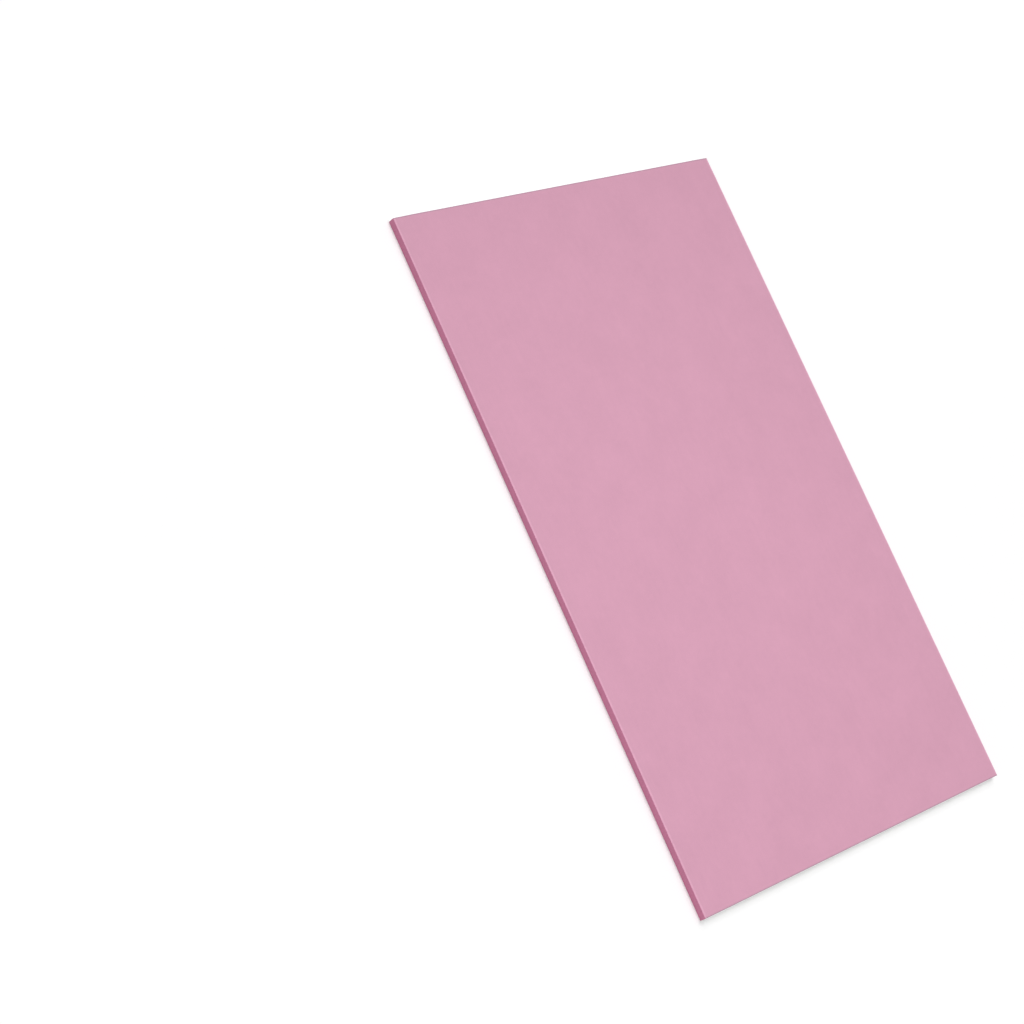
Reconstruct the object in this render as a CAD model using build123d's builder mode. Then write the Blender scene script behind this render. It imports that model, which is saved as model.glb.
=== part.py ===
"""Drywall sheet: a full pink gypsum board with tapered long edges, lying face up on its back.

The frame is in millimetres. +X is across the sheet, +Y runs along it, and +Z points out of its
face. The origin is at the middle of the back, on the surface that the sheet lies on.
"""
import os

from build123d import *

# The sheet, as it is sold.
board_width = 1200
board_length = 2000
board_thickness = 25

# The two liners that the core is cast between.
face_liner = 0.4
back_liner = 0.4

# The long edges thin towards the face, so that a taped and filled joint ends up flush.
taper_width = 55
taper_depth = 2
shoulder_radius = 900

# The face liner is folded round each long edge and turned in under the back liner.
face_fold_radius = 2
back_fold_radius = 1.2
flap_width = 30
back_liner_inset = 12

half_width = board_width / 2
edge_top = board_thickness - taper_depth
between_flaps = board_width - 2 * flap_width
flap_middle = back_liner + face_liner / 2

# The outside of the folded face liner, seen along the sheet: a closed outline with a slope
# beside each long edge, rounded where the paper is folded and where the slope begins. From the
# back up, its corners lie at three heights: back folds, face folds, and starts of the slopes.
with BuildSketch(Plane.XZ) as folded_outline:
    with BuildLine():
        Polyline(
            (-half_width, back_liner),
            (half_width, back_liner),
            (half_width, edge_top),
            (half_width - taper_width, board_thickness),
            (taper_width - half_width, board_thickness),
            (-half_width, edge_top),
            close=True,
        )
    make_face()
    fillet(folded_outline.vertices().group_by(Axis.Y)[1], radius=face_fold_radius)
    fillet(folded_outline.vertices().group_by(Axis.Y)[-1], radius=shoulder_radius)
    fillet(folded_outline.vertices().group_by(Axis.Y)[0], radius=back_fold_radius)

# Face liner: one sheet of pink paper over the face, round both long edges, and turned in as a
# flap along each side of the back. It stops flush with the core at the two cut ends.
with BuildPart() as face_paper:
    with BuildSketch(Plane.XZ):
        add(folded_outline.sketch_local)
        offset(amount=-face_liner, mode=Mode.SUBTRACT)
        with Locations((0, flap_middle)):
            Rectangle(between_flaps, face_liner, mode=Mode.SUBTRACT)
    extrude(amount=board_length / 2, both=True)

# Core: set gypsum fills the folded liner, and meets the back liner between the two flaps.
with BuildPart() as gypsum_core:
    with BuildSketch(Plane.XZ):
        add(folded_outline.sketch_local)
        offset(amount=-face_liner)
        with Locations((0, flap_middle)):
            Rectangle(between_flaps, face_liner)
    extrude(amount=board_length / 2, both=True)

# Back liner: a plain strip of paper over the core and most of each flap, short of the edges.
with BuildPart() as back_paper:
    with BuildSketch(Plane.XZ):
        with Locations((0, back_liner / 2)):
            Rectangle(board_width - 2 * back_liner_inset, back_liner)
    extrude(amount=board_length / 2, both=True)

os.makedirs("parts", exist_ok=True)

gypsum_core.part.label = "gypsum_core"
export_step(gypsum_core.part, "parts/gypsum_core.step")

face_paper.part.label = "face_paper"
export_step(face_paper.part, "parts/face_paper.step")

back_paper.part.label = "back_paper"
export_step(back_paper.part, "parts/back_paper.step")
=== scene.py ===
"""Models and finishes a paper-faced gypsum sheet that lies face up, and sets up its studio.

Everything is in metres. +X is across the sheet, +Y runs along it and +Z points out of its face.
"""

import math

import bmesh
import bpy
from bpy.props import FloatProperty, FloatVectorProperty, PointerProperty
from bpy.types import Operator, Panel, PropertyGroup
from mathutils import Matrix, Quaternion, Vector


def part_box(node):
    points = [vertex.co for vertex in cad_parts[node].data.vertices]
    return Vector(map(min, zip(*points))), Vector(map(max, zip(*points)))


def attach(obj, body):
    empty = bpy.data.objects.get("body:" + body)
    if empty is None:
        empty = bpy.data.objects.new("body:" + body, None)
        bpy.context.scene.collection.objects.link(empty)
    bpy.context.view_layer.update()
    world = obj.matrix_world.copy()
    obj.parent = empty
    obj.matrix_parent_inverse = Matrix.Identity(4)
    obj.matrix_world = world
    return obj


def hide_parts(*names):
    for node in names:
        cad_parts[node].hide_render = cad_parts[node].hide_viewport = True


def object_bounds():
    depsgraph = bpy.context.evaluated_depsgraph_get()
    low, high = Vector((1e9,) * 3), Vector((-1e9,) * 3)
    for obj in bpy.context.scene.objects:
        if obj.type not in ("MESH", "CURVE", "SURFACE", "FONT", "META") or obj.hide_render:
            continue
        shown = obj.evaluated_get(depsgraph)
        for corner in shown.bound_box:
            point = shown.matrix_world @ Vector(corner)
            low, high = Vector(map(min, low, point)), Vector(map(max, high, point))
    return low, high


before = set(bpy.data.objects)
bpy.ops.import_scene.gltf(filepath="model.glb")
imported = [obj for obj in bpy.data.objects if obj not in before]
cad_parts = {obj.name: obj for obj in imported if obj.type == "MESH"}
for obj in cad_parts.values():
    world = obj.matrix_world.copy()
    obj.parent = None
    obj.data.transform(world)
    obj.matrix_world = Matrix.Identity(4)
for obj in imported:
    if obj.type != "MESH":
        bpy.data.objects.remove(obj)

bl_info = {
    "name": "Drywall sheet",
    "version": (1, 0, 0),
    "blender": (4, 5, 0),
    "location": "View3D > Sidebar > Drywall",
    "description": "Models and finishes a paper-faced gypsum sheet with tapered, wrapped edges",
    "category": "Add Mesh",
}

SOLID_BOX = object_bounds()
CORE_LOW, CORE_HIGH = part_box("gypsum_core")
FACE_LOW, FACE_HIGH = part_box("face_paper")
BACK_LOW, BACK_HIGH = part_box("back_paper")

HALF_WIDTH = FACE_HIGH.x
HALF_LENGTH = FACE_HIGH.y
FACE_TOP = FACE_HIGH.z
FACE_LINER = FACE_HIGH.z - CORE_HIGH.z
FLAP_BOTTOM = FACE_LOW.z
FLAP_TOP = FLAP_BOTTOM + FACE_LINER

# How near a place on the mesh has to be to a plane to count as on it.
NEAR = 0.00001
ALONG_X = (1, 0, 0)


class DrywallSizes(PropertyGroup):
    """Sizes of the sheet's section, and of the relief along its edges and cuts"""

    taper_width: FloatProperty(
        name="Taper width",
        description="How far the slope beside each long edge reaches in",
        default=0.055,
        unit="LENGTH",
    )
    taper_depth: FloatProperty(
        name="Taper depth",
        description="How far the face drops at each long edge",
        default=0.002,
        unit="LENGTH",
    )
    shoulder_radius: FloatProperty(
        name="Shoulder radius",
        description="Radius of the easing where the slope starts",
        default=0.9,
        unit="LENGTH",
    )
    face_fold_radius: FloatProperty(
        name="Face fold radius",
        description="Outer radius of the paper where the face turns down",
        default=0.002,
        unit="LENGTH",
    )
    back_fold_radius: FloatProperty(
        name="Back fold radius",
        description="Outer radius of the paper where the edge turns in under the back",
        default=0.0012,
        unit="LENGTH",
    )
    flap_width: FloatProperty(
        name="Flap width",
        description="Width of the face paper that is turned in on the back",
        default=0.03,
        unit="LENGTH",
    )
    wave_length: FloatProperty(
        name="Wave length",
        description="Size of the waves along the wrapped edges",
        default=0.09,
        unit="LENGTH",
    )
    wave_depth: FloatProperty(
        name="Wave depth",
        description="How far the wrapped edges wave inwards",
        default=0.0002,
        unit="LENGTH",
    )
    paper_recess: FloatProperty(
        name="Paper recess",
        description="Room that the cut papers leave for their loose fibres inside the full length",
        default=0.0004,
        unit="LENGTH",
    )
    core_recess: FloatProperty(
        name="Core recess",
        description="How far the sawn gypsum lies inside the full length",
        default=0.0009,
        unit="LENGTH",
    )
    rim_pitch: FloatProperty(
        name="Rim pitch",
        description="Spacing of the mesh along the cut rims of the papers",
        default=0.0025,
        unit="LENGTH",
    )
    ragged_length: FloatProperty(
        name="Ragged length",
        description="Size of the waverings in the line of the cut through the papers",
        default=0.006,
        unit="LENGTH",
    )
    ragged_depth: FloatProperty(
        name="Ragged depth",
        description="How far the line of the cut wanders into the papers",
        default=0.0005,
        unit="LENGTH",
    )
    grain_pitch: FloatProperty(
        name="Grain pitch",
        description="Spacing of the mesh that carries the relief of the sawn gypsum",
        default=0.0009,
        unit="LENGTH",
    )
    grain_depth: FloatProperty(
        name="Grain depth",
        description="Height of the gypsum's fine roughness at the cut ends",
        default=0.0003,
        unit="LENGTH",
    )
    pocket_spacing: FloatProperty(
        name="Air pocket spacing",
        description="Distance between the air pockets that the cut opens",
        default=0.0065,
        unit="LENGTH",
    )
    pocket_depth: FloatProperty(
        name="Air pocket depth",
        description="Depth of the air pockets that the cut opens",
        default=0.0006,
        unit="LENGTH",
    )


class DrywallColours(PropertyGroup):
    """Colours of the papers, the gypsum and the marks on them, with painted shade and a painted
    highlight for the face paper
    """

    face: FloatVectorProperty(
        name="Face paper",
        description="Dyed paper on the face",
        subtype="COLOR",
        default=(0.686, 0.350, 0.475),
        min=0,
        max=1,
    )
    # Painted shade: a deeper, redder copy of the face paper for the wrapped long edges, which lie
    # in shade.
    edge: FloatVectorProperty(
        name="Wrapped edge",
        description="The same paper where it is wrapped round a long edge",
        subtype="COLOR",
        default=(0.655, 0.222, 0.366),
        min=0,
        max=1,
    )
    # Colour of the loose fibres, and of a painted highlight along the arris of each long edge.
    fuzz_and_highlight: FloatVectorProperty(
        name="Rubbed paper",
        description="Loose fibres, and the paper along the rubbed arris of a long edge",
        subtype="COLOR",
        default=(0.83, 0.44, 0.59),
        min=0,
        max=1,
    )
    # Painted shade beside each cut end of the face paper.
    rim_shade: FloatVectorProperty(
        name="Bruised rim",
        description="Face paper beside a cut, bruised by the saw",
        subtype="COLOR",
        default=(0.47, 0.28, 0.36),
        min=0,
        max=1,
    )
    # Painted shade: a dark line along each cut end of the face paper.
    cut_line_shade: FloatVectorProperty(
        name="Crushed rim",
        description="The last line of the face paper along a cut, crushed and dirty",
        subtype="COLOR",
        default=(0.26, 0.16, 0.21),
        min=0,
        max=1,
    )
    back: FloatVectorProperty(
        name="Back paper",
        description="Undyed recycled paper on the back",
        subtype="COLOR",
        default=(0.60, 0.52, 0.42),
        min=0,
        max=1,
    )
    dark_fibre: FloatVectorProperty(
        name="Dark fibre",
        description="Dark fibres in the back paper",
        subtype="COLOR",
        default=(0.26, 0.20, 0.15),
        min=0,
        max=1,
    )
    pale_fibre: FloatVectorProperty(
        name="Pale fibre",
        description="Pale fibres in the back paper",
        subtype="COLOR",
        default=(0.80, 0.73, 0.64),
        min=0,
        max=1,
    )
    ink: FloatVectorProperty(
        name="Ink",
        description="Specks of old print in the back paper",
        subtype="COLOR",
        default=(0.16, 0.15, 0.16),
        min=0,
        max=1,
    )
    gypsum: FloatVectorProperty(
        name="Gypsum",
        description="Set gypsum at the cut ends",
        subtype="COLOR",
        default=(0.90, 0.90, 0.885),
        min=0,
        max=1,
    )
    hollow: FloatVectorProperty(
        name="Hollow",
        description="Shade inside the pores and air pockets of the gypsum",
        subtype="COLOR",
        default=(0.50, 0.49, 0.47),
        min=0,
        max=1,
    )


class DrywallStudio(PropertyGroup):
    """Strengths of the lights, and the camera's place and lens"""

    ambient: FloatProperty(
        name="Ambient",
        description="Strength of the even light from all round",
        default=0.33,
    )
    key_strength: FloatProperty(
        name="Key strength",
        description="Strength of the broad lamp beyond the far right corner",
        default=1.22,
    )
    overhead_power: FloatProperty(
        name="Overhead power",
        description="Power of the soft lamp above the sheet",
        default=22,
        unit="POWER",
    )
    fill_power: FloatProperty(
        name="Fill power",
        description="Power of the shadowless lamp beyond the near end",
        default=290,
        unit="POWER",
    )
    lens: FloatProperty(
        name="Lens",
        description="Focal length of the camera, in millimetres on a 36 mm sensor",
        default=80,
    )
    eye: FloatVectorProperty(
        name="Camera place",
        description="Where the camera stands",
        subtype="XYZ",
        unit="LENGTH",
        default=(-4.3094, -0.7258, 4.5413),
    )
    aim: FloatVectorProperty(
        name="Camera aim",
        description="Place level with the face that the middle of the picture shows",
        subtype="XYZ",
        unit="LENGTH",
        default=(-0.6383, 0.1457, 0.025),
    )
    roll: FloatProperty(
        name="Camera roll",
        description="Turn of the camera about its line of sight",
        subtype="ANGLE",
        default=math.radians(55.68),
    )


# Modelling steps


def anywhere(co):
    """The test that every place passes."""
    return True


def begin(name, add, **options):
    """Add a primitive with nothing else selected, settle it at the origin and open it to edit."""
    bpy.ops.object.select_all(action="DESELECT")
    add(**options)
    piece = bpy.context.object
    piece.name = name
    piece.data.name = name
    bpy.ops.object.transform_apply(location=True, rotation=True, scale=True)
    bpy.ops.object.mode_set(mode="EDIT")
    bpy.ops.mesh.select_all(action="SELECT")
    return piece


def pick(piece, kind, passes):
    """Select only the edges or faces whose every vertex passes a test of its place."""
    bpy.ops.mesh.select_mode(type=kind)
    bpy.ops.mesh.select_all(action="DESELECT")
    mesh = bmesh.from_edit_mesh(piece.data)
    for item in {"EDGE": mesh.edges, "FACE": mesh.faces}[kind]:
        if all(passes(vert.co) for vert in item.verts):
            item.select_set(True)
    bmesh.update_edit_mesh(piece.data)


def pick_cut_ends(piece, passes):
    """Select only the faces that look along the sheet and pass the test."""
    looks_along = 0.7
    pick(piece, "FACE", passes)
    mesh = bmesh.from_edit_mesh(piece.data)
    for face in mesh.faces:
        if abs(face.normal.y) < looks_along:
            face.select_set(False)
    bmesh.update_edit_mesh(piece.data)


def divide(piece, axis, longest, passes=anywhere):
    """Halve the edges that run along an axis and pass the test until none is longer than that."""
    runs_along = 0.9
    on_axis = "XYZ".index(axis)
    bpy.ops.mesh.select_mode(type="EDGE")
    while True:
        bpy.ops.mesh.select_all(action="DESELECT")
        mesh = bmesh.from_edit_mesh(piece.data)
        long_edges = 0
        for edge in mesh.edges:
            first, second = (vert.co for vert in edge.verts)
            run = second - first
            along = abs(run[on_axis]) > runs_along * run.length
            if along and run.length > longest and passes(first) and passes(second):
                edge.select_set(True)
                long_edges += 1
        bmesh.update_edit_mesh(piece.data)
        if not long_edges:
            return
        bpy.ops.mesh.subdivide(number_cuts=1, ngon=True)


def cut(at, facing, trim=False, fill=False):
    """Bisect everything with a plane, and drop what lies on the side it faces if trim is asked."""
    bpy.ops.mesh.select_all(action="SELECT")
    bpy.ops.mesh.bisect(
        plane_co=at, plane_no=facing, clear_outer=trim, use_fill=fill, threshold=NEAR / 10
    )


def round_off(radius, turn, segments):
    """Bevel the selected edges to an arc of the radius, where the surface turns by that angle."""
    bpy.ops.mesh.bevel(
        offset=radius * math.tan(turn / 2),
        offset_type="OFFSET",
        segments=segments,
        profile=0.5,
        affect="EDGES",
        clamp_overlap=False,
    )


def settle():
    """Point all faces outwards and leave edit mode."""
    bpy.ops.mesh.select_all(action="SELECT")
    bpy.ops.mesh.normals_make_consistent(inside=False)
    bpy.ops.object.mode_set(mode="OBJECT")


def shade_round(sharpest):
    """Shade smooth, but not where faces meet at more than that many degrees."""
    bpy.ops.object.shade_smooth_by_angle(angle=math.radians(sharpest))


def weigh(piece, group_name, weight_of):
    """Fill a vertex group in object mode with a weight worked out from each vertex's place."""
    group = piece.vertex_groups.new(name=group_name)
    for vertex in piece.data.vertices:
        weight = weight_of(vertex.co)
        if weight > 0:
            group.add([vertex.index], weight, "REPLACE")


def apply_modifier(piece, kind, **settings):
    """Add a modifier with these settings and apply it."""
    modifier = piece.modifiers.new(kind.title(), kind)
    for name, value in settings.items():
        setattr(modifier, name, value)
    bpy.ops.object.modifier_apply(modifier=modifier.name)


def clouds(name, size, depth=2):
    """A cloudy texture with blots of that size, and finer ones down to the depth."""
    texture = bpy.data.textures.new(name, "CLOUDS")
    texture.noise_scale = size
    texture.noise_depth = depth
    return texture


def displace(piece, group, texture, direction, strength, mid_level=0.0):
    """Push a vertex group by a texture, which leaves it where it is at the middle level."""
    apply_modifier(
        piece,
        "DISPLACE",
        texture=texture,
        texture_coords="LOCAL",
        vertex_group=group,
        direction=direction,
        strength=strength,
        mid_level=mid_level,
    )


def wander(piece, axis, limit, depth, size):
    """Let the two borders that lie at the limit on an axis wander inwards by up to the depth."""
    on_axis = "XYZ".index(axis)
    for side in (-1, 1):
        border = f"{axis} {side}"
        weigh(piece, border, lambda co: 1.0 if side * co[on_axis] > limit - NEAR else 0.0)
        texture = clouds("wandering " + border, size, depth=3)
        displace(piece, border, texture, axis, -side * depth)


def hand_over(piece, finish, solid):
    """Give a finished piece its finish, and let it stand for the solid that it replaces."""
    piece.data.materials.clear()
    piece.data.materials.append(finish)
    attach(piece, "root")
    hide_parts(solid)


def slope_turn(sizes):
    """Angle between the flat of the face and the slope beside a long edge."""
    return math.atan(sizes.taper_depth / sizes.taper_width)


# Finishes


def fill_inputs(tree, made, inputs):
    """Fill a node's inputs with plain values or with other nodes' sockets."""
    for name, value in inputs.items():
        if isinstance(value, bpy.types.NodeSocket):
            tree.links.new(value, made.inputs[name])
        else:
            made.inputs[name].default_value = value


def add_node(tree, kind, inputs=None, **settings):
    """Add a node, set its options and fill its inputs."""
    made = tree.nodes.new(kind)
    for name, value in settings.items():
        setattr(made, name, value)
    fill_inputs(tree, made, inputs or {})
    return made


def node(tree, kind, inputs=None, **settings):
    """Add a shader node, named without its prefix."""
    return add_node(tree, "ShaderNode" + kind, inputs, **settings)


def calculate(tree, operation, first, second=0.0):
    """The result of one step of arithmetic on sockets or numbers."""
    return node(tree, "Math", {0: first, 1: second}, operation=operation).outputs[0]


def product(tree, first, *others):
    """All the factors multiplied together."""
    for other in others:
        first = calculate(tree, "MULTIPLY", first, other)
    return first


def between(tree, value, low, high, to_low=0.0, to_high=1.0):
    """Ease a value from to_low to to_high as it goes from low to high."""
    made = node(
        tree,
        "MapRange",
        {"Value": value, "From Min": low, "From Max": high, "To Min": to_low, "To Max": to_high},
        interpolation_type="SMOOTHSTEP",
    )
    return made.outputs["Result"]


def add_up(tree, middle, parts):
    """The middle value plus (socket, share) pairs, each socket counted from its own middle."""
    total = middle
    for socket, share in parts:
        centred = calculate(tree, "SUBTRACT", socket, 0.5)
        total = calculate(tree, "ADD", product(tree, centred, share), total)
    return total


def off_centre(tree, position):
    """Distances across and along from the sheet's middle, and the height above its back."""
    place = node(tree, "SeparateXYZ", {"Vector": position}).outputs
    across = calculate(tree, "ABSOLUTE", place["X"])
    along = calculate(tree, "ABSOLUTE", place["Y"])
    return across, along, place["Z"]


def stretched(tree, position, scale, turn=0.0):
    """The position turned about the sheet's normal, then scaled unevenly."""
    turned = node(tree, "Mapping", {"Vector": position, "Rotation": (0, 0, turn)})
    return node(tree, "Mapping", {"Vector": turned.outputs[0], "Scale": scale}).outputs[0]


def noise(tree, position, scale=1.0, detail=2.0, roughness=0.5):
    """Cloudy noise from 0 to 1, with about that many blots to each unit of the position."""
    made = node(
        tree,
        "TexNoise",
        {"Vector": position, "Scale": scale, "Detail": detail, "Roughness": roughness},
    )
    return made.outputs["Fac"]


def uneven_place(tree, position, scale, reach):
    """The position pushed about by noise, so that what is drawn there isn't perfectly round."""
    push = node(tree, "TexNoise", {"Vector": position, "Scale": scale, "Detail": 1.0})
    centred = node(
        tree, "VectorMath", {0: push.outputs["Color"], 1: (0.5, 0.5, 0.5)}, operation="SUBTRACT"
    )
    scaled = node(tree, "VectorMath", {0: centred.outputs[0], "Scale": reach}, operation="SCALE")
    moved = node(tree, "VectorMath", {0: position, 1: scaled.outputs[0]}, operation="ADD")
    return moved.outputs[0]


def specks(tree, position, spacing, share, widest, flat=0.0):
    """Scattered round specks up to the widest across, from 0 at the rim to 1 over the flat part."""
    smallest = 0.15
    cells = node(tree, "TexVoronoi", {"Vector": position, "Scale": 1 / spacing})
    chance = node(tree, "SeparateColor", {"Color": cells.outputs["Color"]}).outputs
    chosen = calculate(tree, "LESS_THAN", chance[0], share)
    size = between(tree, chance[1], 0.0, 1.0, to_low=smallest)
    reach = product(tree, size, 0.5 * widest / spacing)
    inside = between(tree, cells.outputs["Distance"], reach, product(tree, reach, flat))
    return product(tree, inside, chosen)


def matted(tree, position, turns, length=0.003, width=0.00025):
    """Matted fibres: noise drawn out along the sheet, and along lines turned from that."""
    strongest = None
    for turn in turns:
        drawn_out = stretched(tree, position, (1 / width, 1 / length, 1 / width), turn)
        strand = noise(tree, drawn_out, detail=1.0)
        strongest = strand if strongest is None else calculate(tree, "MAXIMUM", strongest, strand)
    return strongest


def single_fibres(tree, position, turns, length, width, share):
    """The few fibres that stand out from the matting, as a share of another colour."""
    faint, plain = 0.68, 0.76
    fibres = matted(tree, position, turns, length, width)
    return between(tree, fibres, faint, plain, to_high=share)


def opaque(colour):
    """The colour with full alpha, as a shader's sockets take it."""
    return (*colour, 1.0)


def tinted(tree, colour, value):
    """A plain colour with its brightness changed by this factor."""
    return node(tree, "HueSaturation", {"Color": opaque(colour), "Value": value}).outputs["Color"]


def mixed(tree, share, first, second):
    """From the first colour to the second as share goes from 0 to 1."""
    # A Mix node has sockets of the same name for each kind of value, so these go by place.
    made = node(tree, "Mix", {0: share, 6: first, 7: second}, data_type="RGBA")
    return made.outputs[2]


def bump(tree, height, distance, under=None):
    """A bump of that height in metres, laid over another."""
    inputs = {"Height": height, "Distance": distance, "Strength": 1.0}
    if under is not None:
        inputs["Normal"] = under
    return node(tree, "Bump", inputs).outputs["Normal"]


def start_finish(name):
    """A new material, its shader, and the position in the object's own coordinates."""
    material = bpy.data.materials.new(name)
    material.use_nodes = True
    tree = material.node_tree
    position = node(tree, "TexCoord").outputs["Object"]
    return material, tree, tree.nodes["Principled BSDF"], position


def arris_highlight(tree, across, height, patches, sizes):
    """How much painted highlight lies on the face beside the fold of a long edge, more in some
    patches.
    """
    strongest, weakest = 0.65, 0.45
    inner, outer = 0.007, 0.001
    lower, upper = 0.0012, 0.0002
    fold_start = HALF_WIDTH - sizes.face_fold_radius
    edge_top = FACE_TOP - sizes.taper_depth
    beside_fold = between(tree, across, fold_start - inner, fold_start - outer)
    near_top = between(tree, height, edge_top - lower, edge_top - upper)
    patchy = between(tree, patches, 0.3, 0.6, to_low=weakest)
    return product(tree, beside_fold, near_top, patchy, strongest)


def wrapped_round(tree, across, height, sizes):
    """1 where the face paper is wrapped round a long edge or turned in under the back, where it
    takes the painted shade of the edge colour.
    """
    ease = 0.001
    into_fold, before_edge = 0.0006, 0.0003
    fold_start = HALF_WIDTH - sizes.face_fold_radius
    edge_top = FACE_TOP - sizes.taper_depth
    past_fold = between(tree, across, fold_start + into_fold, HALF_WIDTH - before_edge)
    flap = between(tree, height, FLAP_TOP + ease, FLAP_TOP)
    below_arris = between(tree, height, edge_top, edge_top - ease)
    return product(tree, calculate(tree, "MAXIMUM", past_fold, flap), below_arris)


def cut_end_shade(tree, face, along, colours):
    """The face's colour with painted shade beside the cuts, darkest in a line along them."""
    rim_shade_start = HALF_LENGTH - 0.007
    line_shade_start, line_shade_full = HALF_LENGTH - 0.0026, HALF_LENGTH - 0.001
    rim_shade = between(tree, along, rim_shade_start, HALF_LENGTH, to_high=0.5)
    face = mixed(tree, rim_shade, face, opaque(colours.rim_shade))
    cut_line_shade = between(tree, along, line_shade_start, line_shade_full, to_high=0.6)
    return mixed(tree, cut_line_shade, face, opaque(colours.cut_line_shade))


def face_paper_finish(sizes, colours):
    """Dyed liner paper: cloudy, faintly streaked along the sheet, with painted shade where it is
    wrapped, a painted highlight along the arrises and painted shade along the cuts.
    """
    material, tree, shader, position = start_finish("pink_liner_paper")
    across, along, height = off_centre(tree, position)

    cloud = noise(tree, position, scale=9, detail=4, roughness=0.6)
    patches = noise(tree, position, scale=60, detail=4, roughness=0.6)
    streaks = noise(tree, stretched(tree, position, scale=(190, 3.5, 190)))
    fibres = matted(tree, position, turns=(0.2, -0.5, 1.2))
    tone = add_up(tree, 0.985, [(cloud, 0.12), (patches, 0.05), (streaks, 0.03), (fibres, 0.16)])

    # Painted highlight along the arris of each long edge.
    fuzz_and_highlight = arris_highlight(tree, across, height, patches, sizes)
    face = mixed(tree, fuzz_and_highlight, tinted(tree, colours.face, tone), opaque(colours.fuzz_and_highlight))
    # Painted shade beside and along the cut ends.
    face = cut_end_shade(tree, face, along, colours)
    # Painted shade: the wrapped edges and flaps take the deeper edge colour.
    wrapped = wrapped_round(tree, across, height, sizes)
    colour = mixed(tree, wrapped, face, tinted(tree, colours.edge, tone))
    lint = single_fibres(tree, position, (0.4, -0.9), length=0.004, width=0.0003, share=0.6)
    colour = mixed(tree, lint, colour, opaque(colours.fuzz_and_highlight))

    waves = bump(tree, noise(tree, position, scale=22), distance=0.00018)
    matt = bump(tree, patches, distance=0.00008, under=waves)
    inputs = {
        "Base Color": colour,
        "Roughness": add_up(tree, 0.74, [(cloud, 0.10), (streaks, 0.06), (fibres, 0.12)]),
        "Specular IOR Level": 0.35,
        "Normal": bump(tree, fibres, distance=0.00006, under=matt),
    }
    fill_inputs(tree, shader, inputs)
    return material


def back_paper_finish(colours):
    """Recycled liner paper: mottled, with dark and pale fibres and specks of old ink in it."""
    material, tree, shader, position = start_finish("recycled_liner_paper")
    cloud = noise(tree, position, scale=9, detail=5, roughness=0.6)
    mottle = noise(tree, position, scale=90, detail=4, roughness=0.65)
    streaks = noise(tree, stretched(tree, position, scale=(150, 4, 150)))
    fibres = matted(tree, position, turns=(0.3, -0.6, 1.3))
    tone = add_up(tree, 0.98, [(cloud, 0.12), (mottle, 0.14), (streaks, 0.06), (fibres, 0.30)])
    colour = tinted(tree, colours.back, tone)
    dark = single_fibres(tree, position, (0.5, -1.2), length=0.003, width=0.0004, share=0.5)
    colour = mixed(tree, dark, colour, opaque(colours.dark_fibre))
    pale = single_fibres(tree, position, (-0.3, 1.5), length=0.005, width=0.0004, share=0.5)
    colour = mixed(tree, pale, colour, opaque(colours.pale_fibre))
    ink = specks(tree, position, spacing=0.006, share=0.3, widest=0.0008, flat=0.5)
    colour = mixed(tree, product(tree, ink, 0.6), colour, opaque(colours.ink))

    matt = bump(tree, mottle, distance=0.00010)
    inputs = {
        "Base Color": colour,
        "Roughness": add_up(tree, 0.86, [(mottle, 0.12)]),
        "Specular IOR Level": 0.25,
        "Normal": bump(tree, fibres, distance=0.00007, under=matt),
    }
    fill_inputs(tree, shader, inputs)
    return material


def airy_part(tree, across, height):
    """1 in the foamed middle of the core, and 0 in the dense gypsum beside its papers."""
    dense_skin, foamed = 0.001, 0.005
    dense_edge, foamed_edge = 0.003, 0.02
    middle = (CORE_LOW.z + CORE_HIGH.z) / 2
    half_depth = (CORE_HIGH.z - CORE_LOW.z) / 2
    off_middle = calculate(tree, "ABSOLUTE", calculate(tree, "SUBTRACT", height, middle))
    under_skin = between(tree, off_middle, half_depth - dense_skin, half_depth - foamed)
    off_edge = between(tree, across, HALF_WIDTH - dense_edge, HALF_WIDTH - foamed_edge)
    return product(tree, under_skin, off_edge)


def gypsum_finish(sizes, colours):
    """Set gypsum: white and chalky, porous inside and dense beside its papers."""
    material, tree, shader, position = start_finish("set_gypsum")
    across, along, height = off_centre(tree, position)

    cloud = noise(tree, position, scale=30, detail=4, roughness=0.6)
    grain = noise(tree, position, scale=900, detail=3, roughness=0.7)
    colour = tinted(tree, colours.gypsum, add_up(tree, 1.0, [(cloud, 0.05), (grain, 0.10)]))
    grain_bottom = HALF_LENGTH - sizes.core_recess - sizes.grain_depth
    # Painted shade in the sunk air pockets.
    sunk = between(tree, along, grain_bottom, grain_bottom - sizes.pocket_depth, to_high=0.25)
    colour = mixed(tree, sunk, colour, opaque(colours.hollow))
    uneven = uneven_place(tree, position, scale=1100, reach=0.0004)
    fine = specks(tree, uneven, spacing=0.0012, share=0.6, widest=0.0006)
    coarse = specks(tree, uneven, spacing=0.0045, share=0.6, widest=0.0022)
    airy = airy_part(tree, across, height)
    pores = product(tree, calculate(tree, "MAXIMUM", fine, coarse), airy)
    # Painted shade inside the pores.
    colour = mixed(tree, product(tree, pores, 0.55), colour, opaque(colours.hollow))

    lines = noise(tree, stretched(tree, position, scale=(420, 30, 30)), detail=3)
    sawn = bump(tree, lines, distance=0.00012)
    rough = bump(tree, grain, distance=0.00012, under=sawn)
    solid = calculate(tree, "SUBTRACT", 1.0, pores)
    inputs = {
        "Base Color": colour,
        "Roughness": 0.92,
        "Specular IOR Level": 0.2,
        "Normal": bump(tree, solid, distance=0.00030, under=rough),
    }
    fill_inputs(tree, shader, inputs)
    return material


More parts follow.
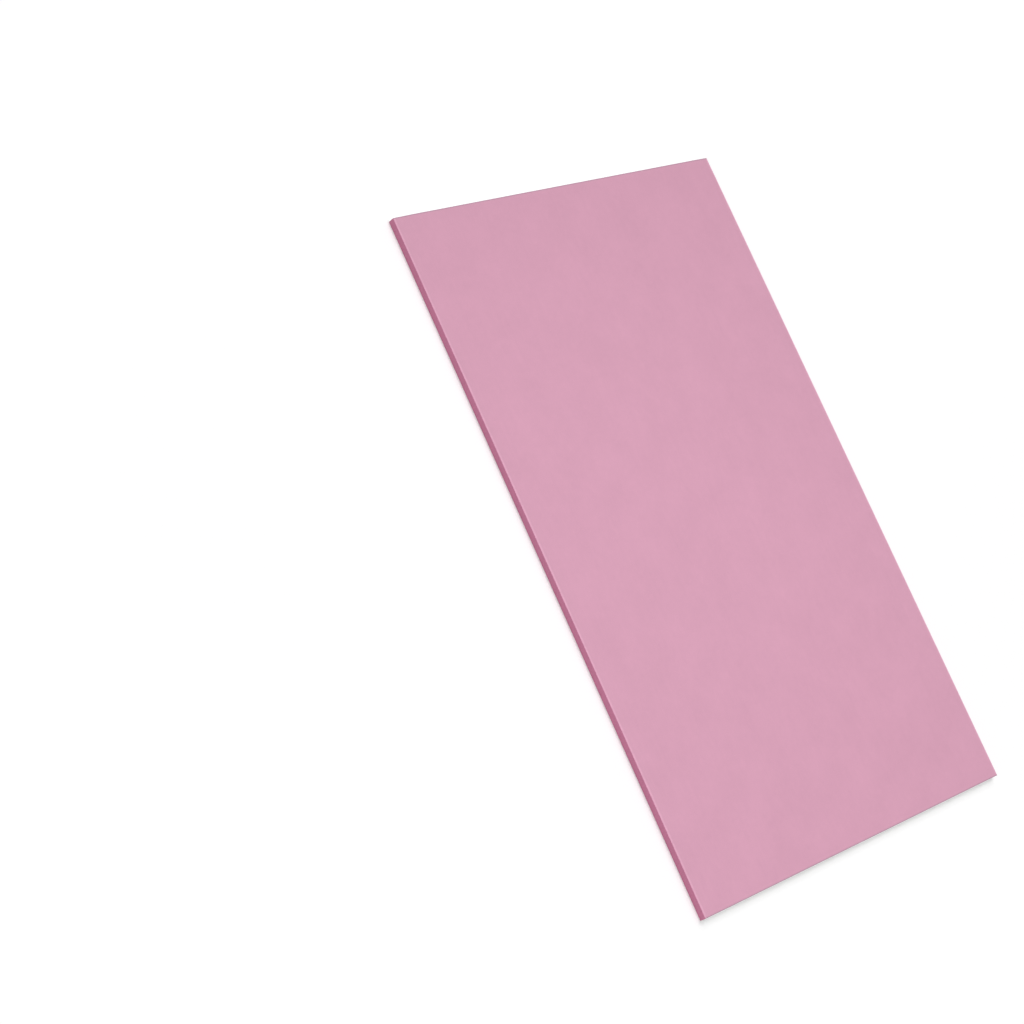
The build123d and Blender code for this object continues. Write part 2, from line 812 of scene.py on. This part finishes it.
def fibre_finish(name, colour):
    """Loose fibres: pale and uneven along their length."""
    material, tree, shader, position = start_finish(name)
    tone = add_up(tree, 1.0, [(noise(tree, position, scale=1500), 0.25)])
    fill_inputs(tree, shader, {"Base Color": tinted(tree, colour, tone), "Roughness": 0.7})
    return material


# Pieces


class DRYWALL_OT_core_slab(Operator):
    """Cast gypsum slab, with sawn ends that show its grain and air pockets"""

    bl_idname = "drywall.core_slab"
    bl_label = "Core slab"

    def execute(self, context):
        sizes = context.scene.drywall_sizes
        near_end = sizes.core_recess - HALF_LENGTH
        width = CORE_HIGH.x - CORE_LOW.x
        depth = CORE_HIGH.z - FLAP_TOP
        middle = (0, near_end, FLAP_TOP + depth / 2)
        piece = begin(
            "core_slab",
            bpy.ops.mesh.primitive_grid_add,
            x_subdivisions=round(width / sizes.grain_pitch),
            y_subdivisions=round(depth / sizes.grain_pitch),
            size=1,
            location=middle,
            rotation=(math.radians(90), 0, 0),
        )
        bpy.ops.transform.resize(value=(width, 1, depth), center_override=middle)
        self.trim_to_fold(sizes)
        self.fill_between_flaps(piece, sizes)
        bpy.ops.mesh.select_all(action="SELECT")
        bpy.ops.mesh.extrude_region_move(TRANSFORM_OT_translate={"value": (0, -2 * near_end, 0)})
        settle()
        self.roughen_ends(piece, sizes)
        shade_round(50)
        finish = gypsum_finish(sizes, context.scene.drywall_colours)
        hand_over(piece, finish, solid="gypsum_core")
        return {"FINISHED"}

    def trim_to_fold(self, sizes):
        """Trim the section to the inside of the folded paper, with flats for the round folds."""
        flats = 5
        turn = slope_turn(sizes)
        shoulder = HALF_WIDTH - sizes.taper_width
        fold = sizes.face_fold_radius
        slope_at_fold = FACE_TOP - math.tan(turn) * (sizes.taper_width - fold)
        face_centre = Vector((HALF_WIDTH - fold, 0, slope_at_fold - fold / math.cos(turn)))
        back_fold = sizes.back_fold_radius
        back_centre = Vector((HALF_WIDTH - back_fold, 0, FLAP_BOTTOM + back_fold))
        planes = [(Vector((shoulder, 0, FACE_TOP)), math.pi / 2 - turn, -FACE_LINER)]
        for step in range(1, flats):
            share = step / flats
            lean = share * (math.pi / 2 - turn)
            planes.append((face_centre, lean, fold - FACE_LINER))
            planes.append((back_centre, -share * math.pi / 2, back_fold - FACE_LINER))
        for centre, lean, reach in planes:
            for side in (-1, 1):
                facing = Vector((side * math.cos(lean), 0, math.sin(lean)))
                cut(Vector((side * centre.x, 0, centre.z)) + reach * facing, facing, trim=True)

    def fill_between_flaps(self, piece, sizes):
        """Bring the core down between the two flaps to meet the back paper."""
        inner = HALF_WIDTH - sizes.flap_width
        for side in (-1, 1):
            cut((side * inner, 0, 0), ALONG_X)
        pick(piece, "EDGE", lambda co: abs(co.x) < inner + NEAR and co.z < FLAP_TOP + NEAR)
        bpy.ops.mesh.extrude_edges_move(
            TRANSFORM_OT_translate={"value": (0, 0, FLAP_BOTTOM - FLAP_TOP)}
        )

    def roughen_ends(self, piece, sizes):
        """Sink the gypsum between its papers into grain, shallow waves and air pockets."""
        smooth_rim, dense_rim = 0.0012, 0.0035
        turn = slope_turn(sizes)

        def cover(co):
            """Distance from the nearest paper, on a cut end."""
            slope_drop = max(0.0, abs(co.x) - HALF_WIDTH + sizes.taper_width) * math.tan(turn)
            from_face = CORE_HIGH.z - slope_drop - co.z
            from_edge = CORE_HIGH.x - abs(co.x)
            return min(from_face, from_edge, co.z - FLAP_TOP)

        def eased(reach):
            """A weight that grows from 0 beside the paper to 1 at the reach from it."""
            return lambda co: max(0.0, min(1.0, cover(co) / reach))

        weigh(piece, "grain", eased(smooth_rim))
        weigh(piece, "pockets", eased(dense_rim))
        waves = clouds("gypsum waves", size=0.03)
        displace(piece, "grain", waves, "NORMAL", -sizes.grain_depth)
        grain = clouds("gypsum grain", size=0.0022, depth=3)
        displace(piece, "grain", grain, "NORMAL", -sizes.grain_depth)
        pockets = self.air_pockets(sizes.pocket_spacing)
        displace(piece, "pockets", pockets, "NORMAL", sizes.pocket_depth, mid_level=1.0)

    def air_pockets(self, spacing):
        """A white texture with black round pockets at that spacing."""
        pockets = bpy.data.textures.new("air pockets", "VORONOI")
        pockets.noise_scale = spacing
        pockets.use_color_ramp = True
        bottom, brim = pockets.color_ramp.elements
        bottom.position, brim.position = 0.12, 0.26
        bottom.color, brim.color = (0, 0, 0, 1), (1, 1, 1, 1)
        return pockets


class DRYWALL_OT_face_liner(Operator):
    """Pink paper over the face, folded round both long edges and in under the back"""

    bl_idname = "drywall.face_liner"
    bl_label = "Face liner"

    def execute(self, context):
        sizes = context.scene.drywall_sizes
        cut_line = HALF_LENGTH - sizes.paper_recess
        middle = (0, 0, FACE_TOP)
        piece = begin("face_liner", bpy.ops.mesh.primitive_plane_add, size=2, location=middle)
        bpy.ops.transform.resize(value=(HALF_WIDTH, cut_line, 1), center_override=middle)
        self.fold(piece, sizes)
        self.round_folds(piece, sizes)
        divide(piece, "Y", longest=0.01)
        divide(piece, "X", longest=sizes.rim_pitch, passes=lambda co: abs(co.y) > cut_line - NEAR)
        settle()
        apply_modifier(
            piece, "SOLIDIFY", thickness=FACE_LINER, offset=-1, use_even_offset=True, use_rim=True
        )
        self.wave_edges(piece, sizes)
        wander(piece, "Y", cut_line, sizes.ragged_depth, sizes.ragged_length)
        shade_round(35)
        finish = face_paper_finish(sizes, context.scene.drywall_colours)
        hand_over(piece, finish, solid="face_paper")
        return {"FINISHED"}

    def fold(self, piece, sizes):
        """Bring the long edges down to the taper, then down the edge, then in as flaps."""
        for side in (-1, 1):
            cut((side * (HALF_WIDTH - sizes.taper_width), 0, 0), ALONG_X)
        pick(piece, "EDGE", lambda co: abs(co.x) > HALF_WIDTH - NEAR)
        bpy.ops.transform.translate(value=(0, 0, -sizes.taper_depth))
        drop = FACE_TOP - sizes.taper_depth - FLAP_BOTTOM
        bpy.ops.mesh.extrude_edges_move(TRANSFORM_OT_translate={"value": (0, 0, -drop)})
        for side in (-1, 1):
            pick(
                piece,
                "EDGE",
                lambda co: side * co.x > HALF_WIDTH - NEAR and co.z < FLAP_BOTTOM + NEAR,
            )
            bpy.ops.mesh.extrude_edges_move(
                TRANSFORM_OT_translate={"value": (-side * sizes.flap_width, 0, 0)}
            )

    def round_folds(self, piece, sizes):
        """Round the face folds, the back folds and the starts of the slopes."""
        turn = slope_turn(sizes)
        edge_top = FACE_TOP - sizes.taper_depth
        folds = (
            (HALF_WIDTH, edge_top, sizes.face_fold_radius, math.pi / 2 - turn, 8),
            (HALF_WIDTH, FLAP_BOTTOM, sizes.back_fold_radius, math.pi / 2, 6),
            (HALF_WIDTH - sizes.taper_width, FACE_TOP, sizes.shoulder_radius, turn, 6),
        )
        for x, z, radius, angle, segments in folds:
            pick(piece, "EDGE", lambda co: abs(abs(co.x) - x) < NEAR and abs(co.z - z) < NEAR)
            round_off(radius, angle, segments)

    def wave_edges(self, piece, sizes):
        """Let the wrapped long edges wave in and out a little, as pressed paper does."""
        past_fold = HALF_WIDTH - sizes.face_fold_radius / 2
        weigh(piece, "wrapped edge", lambda co: 1.0 if abs(co.x) > past_fold else 0.0)
        waves = clouds("edge waviness", sizes.wave_length)
        displace(piece, "wrapped edge", waves, "NORMAL", -sizes.wave_depth)


class DRYWALL_OT_back_liner(Operator):
    """Plain paper on the back, thinned where it laps over the flaps"""

    bl_idname = "drywall.back_liner"
    bl_label = "Back liner"

    def execute(self, context):
        sizes = context.scene.drywall_sizes
        cut_line = HALF_LENGTH - sizes.paper_recess
        thickness = BACK_HIGH.z - BACK_LOW.z
        skive_width, skive_depth = 0.004, 0.6 * thickness
        middle = (BACK_LOW + BACK_HIGH) / 2
        piece = begin("back_liner", bpy.ops.mesh.primitive_cube_add, size=2, location=middle)
        half_size = (BACK_HIGH.x, cut_line, thickness / 2)
        bpy.ops.transform.resize(value=half_size, center_override=middle)
        for side in (-1, 1):
            cut((side * (BACK_HIGH.x - skive_width), 0, 0), ALONG_X)
        pick(piece, "EDGE", lambda co: abs(co.x) > BACK_HIGH.x - NEAR and co.z < NEAR)
        bpy.ops.transform.translate(value=(0, 0, skive_depth))
        divide(piece, "Y", longest=0.006)
        divide(piece, "X", longest=sizes.rim_pitch, passes=lambda co: abs(co.y) > cut_line - NEAR)
        settle()
        wander(piece, "X", BACK_HIGH.x, depth=0.0012, size=0.02)
        wander(piece, "Y", cut_line, sizes.ragged_depth, sizes.ragged_length)
        shade_round(3)
        finish = back_paper_finish(context.scene.drywall_colours)
        hand_over(piece, finish, solid="back_paper")
        return {"FINISHED"}


def strand_nodes(name, spacing, length, width, lean, seed):
    """Geometry nodes that stand bent strands on a surface, about one in each square of spacing."""
    group = bpy.data.node_groups.new(name, "GeometryNodeTree")
    for way in ("INPUT", "OUTPUT"):
        group.interface.new_socket("Geometry", in_out=way, socket_type="NodeSocketGeometry")

    def random_vector(low, high, stream):
        """A random vector between two corners for each strand."""
        made = add_node(
            group,
            "FunctionNodeRandomValue",
            {"Min": low, "Max": high, "Seed": seed + stream},
            data_type="FLOAT_VECTOR",
        )
        return made.outputs["Value"]

    surface = add_node(group, "NodeGroupInput").outputs[0]
    points = add_node(
        group,
        "GeometryNodeDistributePointsOnFaces",
        {"Mesh": surface, "Density": 1 / spacing**2, "Seed": seed},
    )
    # A strand is rooted a tenth of its length deep, bows one way and droops the other.
    bend = add_node(
        group,
        "GeometryNodeCurveQuadraticBezier",
        {
            "Resolution": 3,
            "Start": (0, 0, -0.1 * length),
            "Middle": (0.1 * length, 0, 0.5 * length),
            "End": (-0.15 * length, 0.1 * length, length),
        },
    )
    outline = add_node(
        group, "GeometryNodeCurvePrimitiveCircle", {"Resolution": 3, "Radius": width / 2}
    )
    strand = add_node(
        group,
        "GeometryNodeCurveToMesh",
        {"Curve": bend.outputs[0], "Profile Curve": outline.outputs[0], "Fill Caps": True},
    )
    leaning = add_node(
        group,
        "FunctionNodeRotateRotation",
        {
            "Rotation": points.outputs["Rotation"],
            "Rotate By": random_vector((-lean, -lean, -math.pi), (lean, lean, math.pi), stream=1),
        },
        rotation_space="LOCAL",
    )
    standing = add_node(
        group,
        "GeometryNodeInstanceOnPoints",
        {
            "Points": points.outputs["Points"],
            "Instance": strand.outputs[0],
            "Rotation": leaning.outputs[0],
            "Scale": random_vector((0.7, 0.7, 0.3), (1.3, 1.3, 1.0), stream=2),
        },
    )
    real = add_node(group, "GeometryNodeRealizeInstances", {"Geometry": standing.outputs[0]})
    add_node(group, "NodeGroupOutput", {"Geometry": real.outputs[0]})
    return group


def grow_strands(source, name, passes=anywhere, **look):
    """Grow strands on the cut ends of a piece, where its faces pass the test, as a new piece."""
    bpy.ops.object.select_all(action="DESELECT")
    source.select_set(True)
    bpy.context.view_layer.objects.active = source
    bpy.ops.object.duplicate()
    piece = bpy.context.object
    piece.name = name
    piece.data.name = name
    piece.vertex_groups.clear()
    bpy.ops.object.mode_set(mode="EDIT")
    pick_cut_ends(piece, passes)
    bpy.ops.mesh.select_all(action="INVERT")
    bpy.ops.mesh.delete(type="FACE")
    bpy.ops.object.mode_set(mode="OBJECT")
    apply_modifier(piece, "NODES", node_group=strand_nodes(name, **look))
    return piece


def trim_to_solid():
    """Trim what stands out of the sheet's true box, and close the strands that this cuts."""
    bpy.ops.object.mode_set(mode="EDIT")
    low, high = (Vector(corner) for corner in SOLID_BOX)
    for axis in range(3):
        facing = Vector((0, 0, 0))
        facing[axis] = 1
        cut(high, facing, trim=True, fill=True)
        cut(low, -facing, trim=True, fill=True)
    bpy.ops.mesh.select_all(action="SELECT")
    bpy.ops.mesh.fill_holes(sides=0)
    bpy.ops.object.mode_set(mode="OBJECT")


def inside_core(co):
    """Whether a place on a cut end lies well clear of the papers."""
    margin = 0.003
    return min(co.z - CORE_LOW.z, CORE_HIGH.z - co.z, CORE_HIGH.x - abs(co.x)) > margin


class DRYWALL_OT_loose_fibres(Operator):
    """Paper fuzz and glass strands that the cut leaves standing at both ends"""

    bl_idname = "drywall.loose_fibres"
    bl_label = "Loose fibres"

    def execute(self, context):
        colours = context.scene.drywall_colours
        paper = {"spacing": 0.0008, "length": 0.0004, "width": 0.00005, "lean": 0.6}
        glass = {
            "passes": inside_core,
            "spacing": 0.0070,
            "length": 0.0022,
            "width": 0.0001,
            "lean": 1.2,
        }
        kinds = (
            ("face_fuzz", "face_liner", paper, colours.fuzz_and_highlight, "face_paper", "face_paper"),
            ("back_fuzz", "back_liner", paper, colours.back, "back_paper", "back_paper"),
            ("glass_strands", "core_slab", glass, colours.gypsum, "gypsum", "gypsum_core"),
        )
        for seed, (name, host, look, colour, slot, solid) in enumerate(kinds):
            piece = grow_strands(bpy.data.objects[host], name, seed=seed, **look)
            trim_to_solid()
            bpy.ops.object.shade_smooth()
            hand_over(piece, fibre_finish(name, colour), solid)
        return {"FINISHED"}


# Stage


def white_for_camera(tree, level):
    """The level for rays from the camera or through gloss or glass, and 0 for other rays."""
    path = node(tree, "LightPath").outputs
    shown = calculate(tree, "MAXIMUM", path["Is Camera Ray"], path["Is Glossy Ray"])
    shown = calculate(tree, "MAXIMUM", shown, path["Is Transmission Ray"])
    return product(tree, shown, level)


def floor_finish():
    """White floor that keeps its shadows, raised to plain white only where it is looked at.

    The lamps light it best near its middle, so it is raised least there and most far off.
    """
    best_lit, far_off = Vector((-0.275, -0.32, 0)), 6.1
    least, most = 0.127, 0.56
    material = bpy.data.materials.new("studio_floor")
    material.use_nodes = True
    tree = material.node_tree
    tree.nodes.clear()
    position = node(tree, "TexCoord").outputs["Object"]
    from_best = node(tree, "Mapping", {"Vector": position, "Location": -best_lit})
    distance = node(tree, "VectorMath", {0: from_best.outputs[0]}, operation="LENGTH")
    level = between(tree, distance.outputs["Value"], 0.0, far_off, least, most)
    seen = white_for_camera(tree, level)
    lift = node(tree, "Emission", {"Color": (1, 1, 1, 1), "Strength": seen})
    paint = node(tree, "BsdfDiffuse", {"Color": (0.90, 0.90, 0.90, 1)})
    both = node(tree, "AddShader", {0: paint.outputs[0], 1: lift.outputs[0]})
    node(tree, "OutputMaterial", {"Surface": both.outputs[0]})
    return material


def soft_lamp(name, kind, place, energy, **settings):
    """Add a lamp of that kind at a place, turned to the middle of the sheet."""
    place = Vector(place)
    turn = (-place).to_track_quat("-Z", "Y")
    bpy.ops.object.light_add(type=kind, location=place, rotation=turn.to_euler())
    lamp = bpy.context.object
    lamp.name = name
    lamp.data.energy = energy
    for setting, value in settings.items():
        setattr(lamp.data, setting, value)


class DRYWALL_OT_studio(Operator):
    """Pale floor, soft light and the camera"""

    bl_idname = "drywall.studio"
    bl_label = "Studio"

    def execute(self, context):
        studio = context.scene.drywall_studio
        self.floor()
        self.world(context.scene, studio)
        self.lamps(studio)
        self.camera(context.scene, studio)
        context.scene.view_settings.view_transform = "Standard"
        return {"FINISHED"}

    def floor(self):
        """A wide floor, a hair below the sheet."""
        piece = begin("floor", bpy.ops.mesh.primitive_plane_add, size=400, location=(0, 0, -0.0002))
        bpy.ops.object.mode_set(mode="OBJECT")
        piece.data.materials.append(floor_finish())

    def world(self, scene, studio):
        """Even light from all round, which looks plain white."""
        world = bpy.data.worlds.new("studio")
        scene.world = world
        world.use_nodes = True
        tree = world.node_tree
        tree.nodes.clear()
        even = node(tree, "Background", {"Color": (1, 1, 1, 1), "Strength": studio.ambient})
        white = node(tree, "Background", {"Color": (1, 1, 1, 1), "Strength": 1.0})
        shown = white_for_camera(tree, 1.0)
        either = node(tree, "MixShader", {0: shown, 1: even.outputs[0], 2: white.outputs[0]})
        node(tree, "OutputWorld", {"Surface": either.outputs[0]})

    def lamps(self, studio):
        """A broad key past the far right corner, a lamp overhead and a fill without shadow."""
        key = {"place": (2.0, 6.5, 9.0), "angle": math.radians(50)}
        overhead = {"place": (-0.18, 0.12, 3.0), "shape": "DISK", "size": 1.4}
        fill = {"place": (-3.5, -9.0, 4.5), "size": 4.0, "use_shadow": False}
        soft_lamp("key", "SUN", energy=studio.key_strength, **key)
        soft_lamp("overhead", "AREA", energy=studio.overhead_power, **overhead)
        soft_lamp("fill", "AREA", energy=studio.fill_power, **fill)

    def camera(self, scene, studio):
        """The camera at its place, turned to its aim and rolled."""
        eye, aim = Vector(studio.eye), Vector(studio.aim)
        level = (aim - eye).to_track_quat("-Z", "Y")
        turned = level @ Quaternion((0, 0, 1), studio.roll)
        bpy.ops.object.camera_add(location=eye, rotation=turned.to_euler())
        camera = bpy.context.object
        camera.name = "camera"
        camera.data.sensor_width = 36
        camera.data.lens = studio.lens
        camera.data.clip_end = 200
        scene.camera = camera


class DRYWALL_PT_panel(Panel):
    """Sizes, colours and lights of the sheet, and a button for each step"""

    bl_label = "Drywall sheet"
    bl_space_type = "VIEW_3D"
    bl_region_type = "UI"
    bl_category = "Drywall"

    def draw(self, context):
        scene = context.scene
        for group in (scene.drywall_sizes, scene.drywall_colours, scene.drywall_studio):
            column = self.layout.column(align=True)
            for name in group.__annotations__:
                column.prop(group, name)
        for operator in OPERATORS:
            self.layout.operator(operator.bl_idname)


GROUPS = {
    "drywall_sizes": DrywallSizes,
    "drywall_colours": DrywallColours,
    "drywall_studio": DrywallStudio,
}
OPERATORS = (
    DRYWALL_OT_core_slab,
    DRYWALL_OT_face_liner,
    DRYWALL_OT_back_liner,
    DRYWALL_OT_loose_fibres,
    DRYWALL_OT_studio,
)


def register():
    """Register the settings, the operators and the panel."""
    for name, group in GROUPS.items():
        bpy.utils.register_class(group)
        setattr(bpy.types.Scene, name, PointerProperty(type=group))
    for shown in (*OPERATORS, DRYWALL_PT_panel):
        bpy.utils.register_class(shown)


def unregister():
    """Take back all that register() adds."""
    for shown in (DRYWALL_PT_panel, *reversed(OPERATORS)):
        bpy.utils.unregister_class(shown)
    for name, group in GROUPS.items():
        delattr(bpy.types.Scene, name)
        bpy.utils.unregister_class(group)


def main():
    """Make the sheet and its studio."""
    register()
    bpy.ops.drywall.core_slab()
    bpy.ops.drywall.face_liner()
    bpy.ops.drywall.back_liner()
    bpy.ops.drywall.loose_fibres()
    bpy.ops.drywall.studio()


if __name__ == "__main__":
    main()
